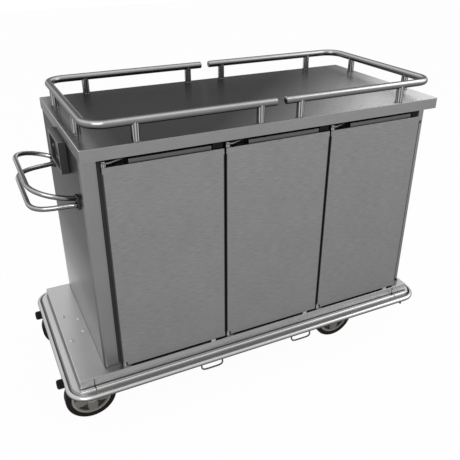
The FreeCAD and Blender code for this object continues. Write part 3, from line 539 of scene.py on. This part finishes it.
door_numbers = (1, 2, 3)


def front_frame():
    """Six rounded bars in one mesh: each is an X and Y outline carried up through a block profile.

    The outer front edge of the two end posts has a wide round, all other edges a narrow one.
    """
    low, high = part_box("front_frame")
    chamber = [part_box("door_%d_seal" % number) for number in door_numbers]
    lip, narrow, wide = 0.0075, 0.0008, 0.009
    left = [box[0][0] + lip for box in chamber]
    right = [box[1][0] - lip for box in chamber]
    floor = chamber[0][0][2] + lip
    ceiling = chamber[0][1][2] - lip
    bars = [(low[0], left[0], low[2], high[2], (wide, narrow, narrow, narrow)),
            (right[2], high[0], low[2], high[2], (narrow, wide, narrow, narrow)),
            (left[0], right[2], ceiling, high[2], narrow),
            (left[0], right[2], low[2], floor, narrow),
            (right[0], left[1], floor, ceiling, narrow),
            (right[1], left[2], floor, ceiling, narrow)]
    stacks = [upright_stack(rectangle(x0, x1, low[1], high[1]), radii,
                            block_profile(z0, z1, narrow / 2), steps=7)
              for x0, x1, z0, z1, radii in bars]
    add_rings("frame_bars", np.stack(stacks), "chassis", frame_steel, ["front_frame"])


front_frame()


# Doors

hinge_inset = 0.008
hinge_notch = (0.020, 0.018)
sheet_notch = (0.015, 0.013)
grip_height = 0.019


def door_pieces(number):
    """Door front sheet, notched body, grip lip, hinge bushes and dark edge strips of painted shade."""
    body = "door_%d" % number
    low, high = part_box(body + "_shell")
    x0, x1 = low[0], high[0]
    z0, z1 = low[2], high[2] - grip_height
    face, middle = -low[1], (low[1] + high[1]) / 2
    sheet, corner = 0.0016, 0.0016

    cut_x, cut_z = x0 + sheet_notch[0], z0 + sheet_notch[1]
    corners = [(cut_x, z0), (x1, z0), (x1, z1), (x0, z1), (x0, cut_z), (cut_x, cut_z)]
    front = forward_stack(corners, corner, block_profile(face - sheet, face, radius=0.0007))
    add_rings(body + "_front_sheet", front[None], body, door_steel, [body + "_shell"])

    notch_x, notch_z = x0 + hinge_notch[0], hinge_notch[1]
    corners = [(notch_x, z0), (x1, z0), (x1, z1), (notch_x, z1), (notch_x, z1 - notch_z),
               (x0, z1 - notch_z), (x0, z0 + notch_z), (notch_x, z0 + notch_z)]
    pan = forward_stack(corners, corner, block_profile(-high[1], face - sheet, radius=0.0004))
    add_rings(body + "_pan", pan[None], body, door_steel)

    grip_left, grip_right, half_grip = x0 + 0.080, x1 - 0.040, 0.004
    grip_foot, grip_top = z1 - 0.001, z1 + 0.75 * grip_height
    grip = upright_stack(rectangle(grip_left, grip_right, middle - half_grip, middle + half_grip),
                         radii=0.0025, profile=block_profile(grip_foot, grip_top, radius=0.002))
    add_rings(body + "_grip_lip", grip[None], body, lip_shaded_steel)

    feet = [(x0 + hinge_inset, middle, z) for z in (z0, z1 - notch_z)]
    tube = ring_profile(bore=0.00405, outer=0.0075, height=notch_z, bevel=0.0004)
    add_rings(body + "_bushes", turned_stacks(feet, upwards, tube), body, post_steel, closed=True)

    # Dark strips on both sides of the door: painted shade in the gaps beside it.
    proud, depth, clear, front_proud, rear_short = 0.0003, 0.0027, 0.001, 0.0002, 0.0006
    profile = block_profile(z0 + notch_z + clear, z1 - notch_z - clear, radius=0.0002)
    strips = [upright_stack(rectangle(*sorted((edge - way * proud, edge + way * depth)),
                                      low[1] - front_proud, high[1] - rear_short),
                            radii=0.0003, profile=profile)
              for edge, way in ((x0, 1), (x1, -1))]
    add_rings(body + "_edge_shade_strips", np.stack(strips), body, door_edge_painted_shade)


def hinge_washers():
    """Bright washers turned about the hinge pins, between each door and its hinge plates."""
    slack, lower_height, upper_height = 0.0004, 0.0042, 0.0092
    lower, upper = [], []
    for number in door_numbers:
        low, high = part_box("door_%d_shell" % number)
        x, y = low[0] + hinge_inset, (low[1] + high[1]) / 2
        lower.append((x, y, low[2] - slack - lower_height))
        upper.append((x, y, high[2] - grip_height + slack))
    for name, feet, height in (("lower_washers", lower, lower_height),
                               ("upper_washers", upper, upper_height)):
        ring = ring_profile(bore=0.0042, outer=0.0085, height=height, bevel=0.0006)
        add_rings(name, turned_stacks(feet, upwards, ring), "chassis", post_steel, closed=True)


def gap_shadow_strips():
    """Black strips of painted shadow on the front frame and on the deck.

    They lie beside the doors, above them, behind their lower hinges and at their feet, where they
    paint the shade of the gaps and under the doors. Each is a block with a left and a right end, a
    distance proud of the frame, a bottom and a top.
    """
    front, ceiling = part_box("front_frame")[0][1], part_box("front_frame")[1][2]
    doors = [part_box("door_%d_shell" % number) for number in door_numbers]
    left = [low[0] for low, high in doors]
    right = [high[0] for low, high in doors]
    jamb, tuck, thin, thick, lift = 0.010, 0.002, 0.0006, 0.0022, 0.004
    bottom, top = doors[0][0][2] + lift, doors[0][1][2] - grip_height
    gaps = [(left[0] - jamb, left[0] + tuck, thin, bottom, top),
            (right[0] - tuck, left[1] + tuck, thick, bottom, top),
            (right[1] - tuck, left[2] + tuck, thick, bottom, top),
            (left[0] - jamb, right[2], thin, top, ceiling - thin)]
    patch_left, patch_right, patch_proud, patch_drop, seal_gap = 0.004, 0.026, 0.0005, 0.006, 0.001
    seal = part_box("door_1_seal")[0][2]
    gaps += [(door[0][0] - patch_left, door[0][0] + patch_right, patch_proud, door[0][2] - patch_drop,
              seal - seal_gap) for door in doors]
    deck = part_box("base_deck")[1][2]
    foot_left, foot_right, foot_short, foot_sunk, foot_rise = 0.024, 0.004, 0.002, 0.0004, 0.0008
    reach = front - doors[0][0][1] - foot_short
    gaps.append((left[0] + foot_left, right[2] - foot_right, reach, deck - foot_sunk, deck + foot_rise))
    sunk = 0.0005
    strips = [upright_stack(rectangle(x0, x1, front - proud, front + sunk), radii=0.0004,
                            profile=block_profile(z0, z1, radius=0.0003))
              for x0, x1, proud, z0, z1 in gaps]
    # Painted shadows in the gaps, behind the lower hinges and under the doors.
    add_rings("gap_shadow_strips", np.stack(strips), "chassis", gap_painted_shade)


for number in door_numbers:
    door_pieces(number)
hinge_washers()
gap_shadow_strips()


# Bumper: dark groove band of painted reflection, painted shadow at the foot of the deck, ribs, seams, rubber
# buffers and plinth line

deck_low, deck_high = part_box("base_deck")
flange = deck_low[2] + 0.003


def bumper_bands():
    """Closed bands round the deck: an outline with wide corners carried through a small closed profile.

    Each profile lists (distance out from the deck, height above the flange) in millimetres.
    """
    corners = rectangle(deck_low[0], deck_high[0], deck_low[1], deck_high[1])
    # Dark band laid in the bumper's groove: painted reflection.
    groove_band = np.array([(23.9, -0.9), (31.0, -9.7), (34.0, -6.2), (33.6, -5.4), (31.0, -8.4), (24.6, -0.1)])
    # Dark strip along the deck's foot: painted shadow.
    foot = np.array([(-0.5, -0.2), (5.0, -0.2), (4.6, 0.5), (0.4, 0.7), (0.4, 2.6), (-0.5, 2.6)])
    for name, band, radius, finish in (("groove_painted_reflection", groove_band, 0.030, groove_shade_steel),
                                       ("deck_foot_painted_shadow", foot, 0.004, foot_steel)):
        profile = np.stack([-band[:, 0] / 1000, flange + band[:, 1] / 1000], axis=1)
        rings = upright_stack(corners, radius, profile, steps=9)
        add_rings(name, rings[None], "chassis", finish, closed=True, crease=band_crease)


def flange_ribs():
    """Half-round ribs along the front and the rear flange, carried along X and tapered at both ends."""
    half_width, height, centre, sunk = 0.0055, 0.0040, 0.0145, 0.0001
    turn = np.linspace(0, math.pi, 9)
    section = np.stack([half_width * np.cos(turn), height * np.sin(turn)], axis=1)
    inset = np.array([-0.004, 0.010, 0.030])
    along = np.concatenate([deck_low[0] + inset, deck_high[0] - inset[::-1]])
    share = np.array([0.15, 0.75, 1.0, 1.0, 0.75, 0.15])
    ribs = []
    for side in (-1, 1):
        ring = section if side > 0 else section[::-1]
        out = side * (deck_high[1] + centre + ring[None, :, 0] * share[:, None])
        up = flange - sunk + ring[None, :, 1] * share[:, None]
        ribs.append(np.stack([np.broadcast_to(along[:, None], out.shape), out, up], axis=-1))
    add_rings("flange_ribs", np.stack(ribs), "chassis", rib_steel, crease=band_crease)


def bumper_seams():
    """Dark joints between corner pieces and rails: thin slices that follow deck face, flange and rib.

    The outline lists (distance out from the deck, height above the flange) in millimetres.
    """
    turn = np.linspace(math.pi, 0, 9)
    over_rib = np.stack([14.5 + 5.9 * np.cos(turn), 4.3 * np.sin(turn) + 0.2], axis=1)
    outline = np.concatenate([[(-0.3, -0.3), (-0.3, 30.6), (0.5, 30.6), (0.7, 1.0), (5.2, 0.9)], over_rib,
                              [(24.0, 0.3), (24.0, -0.3)]]) / 1000
    joints = (deck_low[0] + 0.048, deck_high[0] - 0.070)
    half_seam = 0.0012
    slices = []
    for side in (-1, 1):
        ring = np.stack([side * (deck_high[1] + outline[:, 0]), flange + outline[:, 1]], axis=1)
        ring = ring if side < 0 else ring[::-1]
        for x in joints:
            ends = [np.column_stack([np.full(len(ring), x + step), ring]) for step in (-half_seam, half_seam)]
            slices.append(np.stack(ends))
    add_rings("bumper_seams", np.stack(slices), "chassis", sealant)


def rubber_buffers():
    """Two turned buffers with a rounded end, the stud under the bumper and the stop on the right jamb."""
    length, radius, end_round, height, spread = 0.0285, 0.0168, 0.007, 0.1657, 0.220
    profile = [(radius - 0.0008, 0.0), (radius, 0.001)]
    profile += [(radius - inset, along) for inset, along in quarter_edge(end_round, length, 6)]
    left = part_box("rubber_buffers")[0][0]
    centres = [(left + length, y, height) for y in (-spread, spread)]
    add_rings("rubber_buffer_rounds", turned_stacks(centres, (-1, 0, 0), profile, 32), "chassis",
              black_rubber, ["rubber_buffers"])
    stud_top = (0.6525, -0.344, 0.170)
    stud = [(0.004, 0.0), (0.004, 0.010), (0.0034, 0.0115), (0.002, 0.012)]
    add_rings("bumper_stud", turned_stacks([stud_top], (0, 0, -1), stud), "chassis", black_rubber,
              crease=None)
    stop_outline, stop_foot, stop_top = rectangle(0.6635, 0.6715, -0.289, -0.2838), 0.236, 0.241
    stop = upright_stack(stop_outline, radii=0.0012, profile=block_profile(stop_foot, stop_top, radius=0.001))
    add_rings("jamb_stop", stop[None], "chassis", black_rubber, crease=None)


def plinth_line():
    """Thin dark joint along the foot of the cabinet front."""
    low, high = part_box("front_frame")
    end, proud, sunk, bottom, top = 0.009, 0.0003, 0.0006, 0.2338, 0.2350
    line = upright_stack(rectangle(low[0] + end, high[0] - end, low[1] - proud, low[1] + sunk),
                         radii=0.0003, profile=block_profile(bottom, top, radius=0.0002))
    add_rings("plinth_joint", line[None], "chassis", sealant, crease=None)


bumper_bands()
flange_ribs()
bumper_seams()
rubber_buffers()
plinth_line()


# Wheels: covers with five windows on both sides of each rim

def wheel_covers(wheel, body):
    """Disc on each side of a rim, turned about the axle and pressed in at five triangular windows.

    Over radius and angle, a window is deep where the angle lies within a half-width that grows
    from nothing near the hub to its full size near the ring. The same depth darkens the windows in
    the finish as painted shade.
    """
    low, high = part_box(wheel)
    centre = (np.array(low) + np.array(high)) / 2
    hub, ring, face, back = 0.0224, 0.0635, 0.0196, 0.0125
    depth, slope = 0.006, 0.0025
    tip, growth, window_end = 0.027, 0.033, 0.0605
    first, pitch, full_half = math.radians(-52), math.radians(72), math.radians(23)
    points, steps = 160, 30
    radii = np.linspace(ring, hub, steps)
    angle = np.linspace(0, 2 * math.pi, points, endpoint=False)[None, :]
    radius = radii[:, None]
    nearest = (angle - first + pitch / 2) % pitch - pitch / 2
    half = full_half * np.clip((radius - tip) / growth, 0, 1)
    side = (half - np.abs(nearest)) * radius / slope
    rounding = np.clip((window_end - radius) / slope, 0, 1)
    recess = np.clip(side, 0, 1) * rounding
    profile = [(r, face) for r in radii] + [(hub, back), (ring, back)]
    discs, levels = [], []
    for way in (-1, 1):
        rings = turned_stacks([centre], (0, way, 0), profile, points)[0]
        measured = np.arctan2(rings[0, :, 2] - centre[2], rings[0, :, 0] - centre[0])
        order = np.round(measured / (2 * math.pi) * points).astype(int) % points
        deep = recess[:, order]
        rings[:steps, :, 1] -= way * depth * deep
        discs.append(rings)
        levels.append(np.concatenate([deep, np.zeros((2, points))]))
    mesh = ring_mesh(body + "_covers", np.stack(discs), True)
    # The recess level darkens the windows in the finish: painted shade.
    mesh.attributes.new("recess", "FLOAT", "POINT").data.foreach_set("value", np.stack(levels).reshape(-1))
    sharpen(add_piece(body + "_covers", mesh, body, cover_plastic), band_crease)


for kind in ("swivel", "fixed"):
    for end in ("front", "rear"):
        wheel_covers("%s_rim_%s" % (kind, end), "%s_wheel_%s" % (kind, end))


# Gallery, push handles, strap loops and the seam on the left end

def gallery_details():
    """Domed caps turned about the rail ends, and small rings turned about the post feet."""
    radius, play = 0.0125, 0.0002
    cap = np.concatenate([[(radius - play, -0.002)], dome_profile(radius - play, 0.0035, 7)])
    for side, way in (("left", 1), ("right", -1)):
        low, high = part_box(side + "_gallery_rail")
        end = high[0] if way > 0 else low[0]
        centres = [(end, y, high[2] - radius) for y in (low[1] + radius, high[1] - radius)]
        add_rings(side + "_rail_caps", turned_stacks(centres, (way, 0, 0), cap), "chassis", tube_steel,
                  crease=None)
    low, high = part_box("gallery_posts")
    middle = (low[0] + high[0]) / 2
    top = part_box("worktop")[1][2]
    feet = [(middle + x, y, top) for x in (-0.475, -0.072, 0.072, 0.475) for y in (-0.300, 0.300)]
    feet += [(middle + x, y, top) for x in (-0.613, 0.613) for y in (-0.165, 0.165)]
    bead, stand_off = 0.0014, 0.0006
    turn = np.linspace(0, 2 * math.pi, 8, endpoint=False)
    weld = np.stack([radius + stand_off + bead * np.cos(turn), bead * np.sin(turn)], axis=1)
    add_rings("post_welds", turned_stacks(feet, upwards, weld), "chassis", foot_steel, closed=True,
              crease=None)


def push_handle(name, height, lean, arm, corner, grip):
    """Handle tube along a cubic curve from each bracket to the grip, and straight along the grip.

    The curve leaves the root along the lean, as long as the arm, and comes into the grip along Y
    over the length of the corner. Its other half is the mirror image. A short ring is turned about
    each end of the tube.
    """
    sunk, root_y, radius = 0.003, -0.197, 0.008
    share = np.linspace(0, 1, 28)[:, None]
    root = np.array([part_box("handle_brackets")[0][0] + sunk, root_y, height])
    lean, grip = np.array(lean), np.array(grip)
    leave = root + arm * lean
    enter = grip - np.array([0, corner, 0])
    curve = ((1 - share) ** 3 * root + 3 * (1 - share) ** 2 * share * leave
             + 3 * (1 - share) * share ** 2 * enter + share ** 3 * grip)
    mirror = np.array([1.0, -1.0, 1.0])
    line = np.concatenate([curve, curve[::-1] * mirror])
    add_rings(name + "_handle_tube", tube_rings(line, radius, upwards)[None], "chassis", handle_steel,
              [name + "_push_handle"], crease=None)
    ring = [(0.0081, 0.003), (0.0102, 0.003), (0.0102, 0.008), (0.0094, 0.009), (0.0081, 0.009)]
    ends = [turned_stacks([root * way], lean * way, ring) for way in (np.ones(3), mirror)]
    add_rings(name + "_handle_sockets", np.concatenate(ends), "chassis", bracket_steel, closed=True)


def strap_loops():
    """Two rod loops under the front bumper: each half of a rounded square, as a superellipse."""
    low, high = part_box("strap_loops")
    rod, half, inset, exponent = 0.0031, 0.041, 0.0025, 0.4
    root, lean, drop = 0.0035, 0.006, 0.0205
    turn = np.linspace(0, math.pi, 49)
    across = -half * np.sign(np.cos(turn)) * np.abs(np.cos(turn)) ** exponent
    down = np.sin(turn) ** exponent
    loops = []
    for middle in (low[0] + half + inset, high[0] - half - inset):
        line = np.stack([middle + across, high[1] - root - lean * down, high[2] - drop * down], axis=1)
        loops.append(tube_rings(line, rod, along_y, 12))
    add_rings("strap_loop_rods", np.stack(loops), "chassis", dark_tube_steel, ["strap_loops"], crease=None)


def end_seam():
    """Thin bead along the joint between the two panels of the left end."""
    low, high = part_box("left_end_upper_panel")
    proud, sunk, end = 0.0005, 0.0004, 0.004
    bottom, top = low[2] + 0.0004, low[2] + 0.0026
    bead = upright_stack(rectangle(low[0] - proud, low[0] + sunk, low[1] + end, high[1] - end),
                         radii=0.0004, profile=block_profile(bottom, top, radius=0.0003))
    add_rings("end_seam_bead", bead[None], "chassis", skirt_steel, crease=None)


gallery_details()
push_handle("upper", height=0.8315, lean=(-1.0, -0.5, 0.32), arm=0.078, corner=0.059,
            grip=(-0.7180, -0.1197, 0.8700))
push_handle("lower", height=0.8070, lean=(-1.0, 0.5, 0.02), arm=0.040, corner=0.105,
            grip=(-0.7217, -0.1003, 0.8026))
strap_loops()
end_seam()


# Rear and right end: domed screws near the panel edges

def panel_screws():
    """Domed heads turned about the panels' outward axes, in rows near their upper and lower edges."""
    radius, height, sunk, margin = 0.0052, 0.0022, 0.0005, 0.030
    points, rear_columns, right_columns = 16, 6, 4
    head = np.concatenate([[(radius, -sunk)], dome_profile(radius, height)])
    low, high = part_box("rear_panel")
    rows = (low[2] + margin, high[2] - margin)
    columns = np.linspace(low[0] + margin, high[0] - margin, rear_columns)
    places = [(x, high[1], z) for x in columns for z in rows]
    rear = turned_stacks(places, along_y, head, points)
    low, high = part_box("right_end_panel")
    columns = np.linspace(low[1] + margin, high[1] - margin, right_columns)
    places = [(high[0], y, z) for y in columns for z in rows]
    right = turned_stacks(places, along_x, head, points)
    add_rings("panel_screws", np.concatenate([rear, right]), "chassis", pin_steel, crease=None)


panel_screws()


# Control box: steel lid, lighter as painted light on its top, and rim

def control_box():
    """Thin lid over the box, lighter than the box as painted light on its top, and a rim round its outer
    face.
    """
    low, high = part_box("control_housing")
    over, half_lid = 0.0004, 0.0006
    lid_profile = block_profile(high[2] - half_lid, high[2] + half_lid, radius=0.0005)
    lid = upright_stack(rectangle(low[0] - over, high[0], low[1] - over, high[1] + over),
                        radii=0.0006, profile=lid_profile)
    # The lid's lighter steel paints the light on the box's top.
    add_rings("control_lid", lid[None], "chassis", skirt_steel)
    face, sunk, proud = -low[0], 0.002, 0.0008
    rim = [(0.0002, face - sunk), (-0.0004, face), (0.0006, face + proud), (0.0075, face + proud),
           (0.0082, face), (0.0082, face - sunk)]
    rings = leftward_stack(rectangle(-high[1], -low[1], low[2], high[2]), radii=0.0085, profile=rim)
    add_rings("control_rim", rings[None], "chassis", frame_steel, closed=True)


control_box()


# Stage: floor, backdrop, light and camera

def seen_directly(tree):
    """Factor that is 1 on camera, glossy and transmission rays and 0 on all others."""
    path = tree.nodes.new("ShaderNodeLightPath").outputs
    seen = math_node(tree, "MAXIMUM", path["Is Camera Ray"], path["Is Glossy Ray"])
    return math_node(tree, "MAXIMUM", seen, path["Is Transmission Ray"])


def pale_floor():
    """Flat square floor, nearly white to the camera, that still takes the shadow."""
    half = 12.0
    mesh = bpy.data.meshes.new("floor")
    mesh.from_pydata([(x, y, 0) for x, y in rectangle(-half, half, -half, half)], [], [(0, 1, 2, 3)])
    floor = bpy.data.objects.new("floor", mesh)
    bpy.context.scene.collection.objects.link(floor)
    finish = bpy.data.materials.new("floor_white")
    finish.use_nodes = True
    tree = finish.node_tree
    shader = tree.nodes["Principled BSDF"]
    shader.inputs["Base Color"].default_value = (0.9, 0.9, 0.9, 1.0)
    shader.inputs["Roughness"].default_value = 0.9
    shader.inputs["Specular IOR Level"].default_value = 0.0
    glow = tree.nodes.new("ShaderNodeEmission")
    blend = tree.nodes.new("ShaderNodeMixShader")
    glow_share = math_node(tree, "MULTIPLY", seen_directly(tree), 0.97)
    tree.links.new(glow_share, blend.inputs["Fac"])
    tree.links.new(shader.outputs[0], blend.inputs[1])
    tree.links.new(glow.outputs[0], blend.inputs[2])
    tree.links.new(blend.outputs[0], tree.nodes["Material Output"].inputs["Surface"])
    mesh.materials.append(finish)


def white_world():
    """Even surround: white where it is seen, softer where it only lights the object."""
    world = bpy.data.worlds.new("studio")
    bpy.context.scene.world = world
    world.use_nodes = True
    tree = world.node_tree
    soft = tree.nodes["Background"]
    soft.inputs["Color"].default_value = (1, 1, 1, 1)
    soft.inputs["Strength"].default_value = 0.55
    white = tree.nodes.new("ShaderNodeBackground")
    white.inputs["Color"].default_value = (1, 1, 1, 1)
    white.inputs["Strength"].default_value = 1.0
    blend = tree.nodes.new("ShaderNodeMixShader")
    tree.links.new(seen_directly(tree), blend.inputs["Fac"])
    tree.links.new(soft.outputs[0], blend.inputs[1])
    tree.links.new(white.outputs[0], blend.inputs[2])
    tree.links.new(blend.outputs[0], tree.nodes["World Output"].inputs["Surface"])


def soft_lamp(name, place, power):
    """Square soft box that looks at the middle of the object."""
    target = Vector((0, 0, 0.6))
    data = bpy.data.lights.new(name, "AREA")
    data.size = 2.5
    data.energy = power
    lamp = bpy.data.objects.new(name, data)
    bpy.context.scene.collection.objects.link(lamp)
    lamp.location = place
    lamp.rotation_euler = (target - Vector(place)).to_track_quat("-Z", "Y").to_euler()


def photo_camera():
    """Camera at the photograph's place and angle, for a square image."""
    turn = math.radians(25.7935)
    drop = math.radians(27.8015)
    data = bpy.data.cameras.new("photo_camera")
    data.sensor_width = 36.0
    data.lens = 44.635
    data.clip_end = 100.0
    camera = bpy.data.objects.new("photo_camera", data)
    bpy.context.scene.collection.objects.link(camera)
    camera.location = (-0.8539, -1.8163, 1.5522)
    ahead = Vector((math.sin(turn) * math.cos(drop), math.cos(turn) * math.cos(drop), -math.sin(drop)))
    camera.rotation_euler = ahead.to_track_quat("-Z", "Y").to_euler()
    bpy.context.scene.camera = camera


pale_floor()
white_world()
soft_lamp("key_lamp", (-2.2, -2.6, 3.2), power=60)
soft_lamp("fill_lamp", (2.8, -1.2, 2.4), power=35)
photo_camera()
bpy.context.scene.view_settings.view_transform = "Standard"
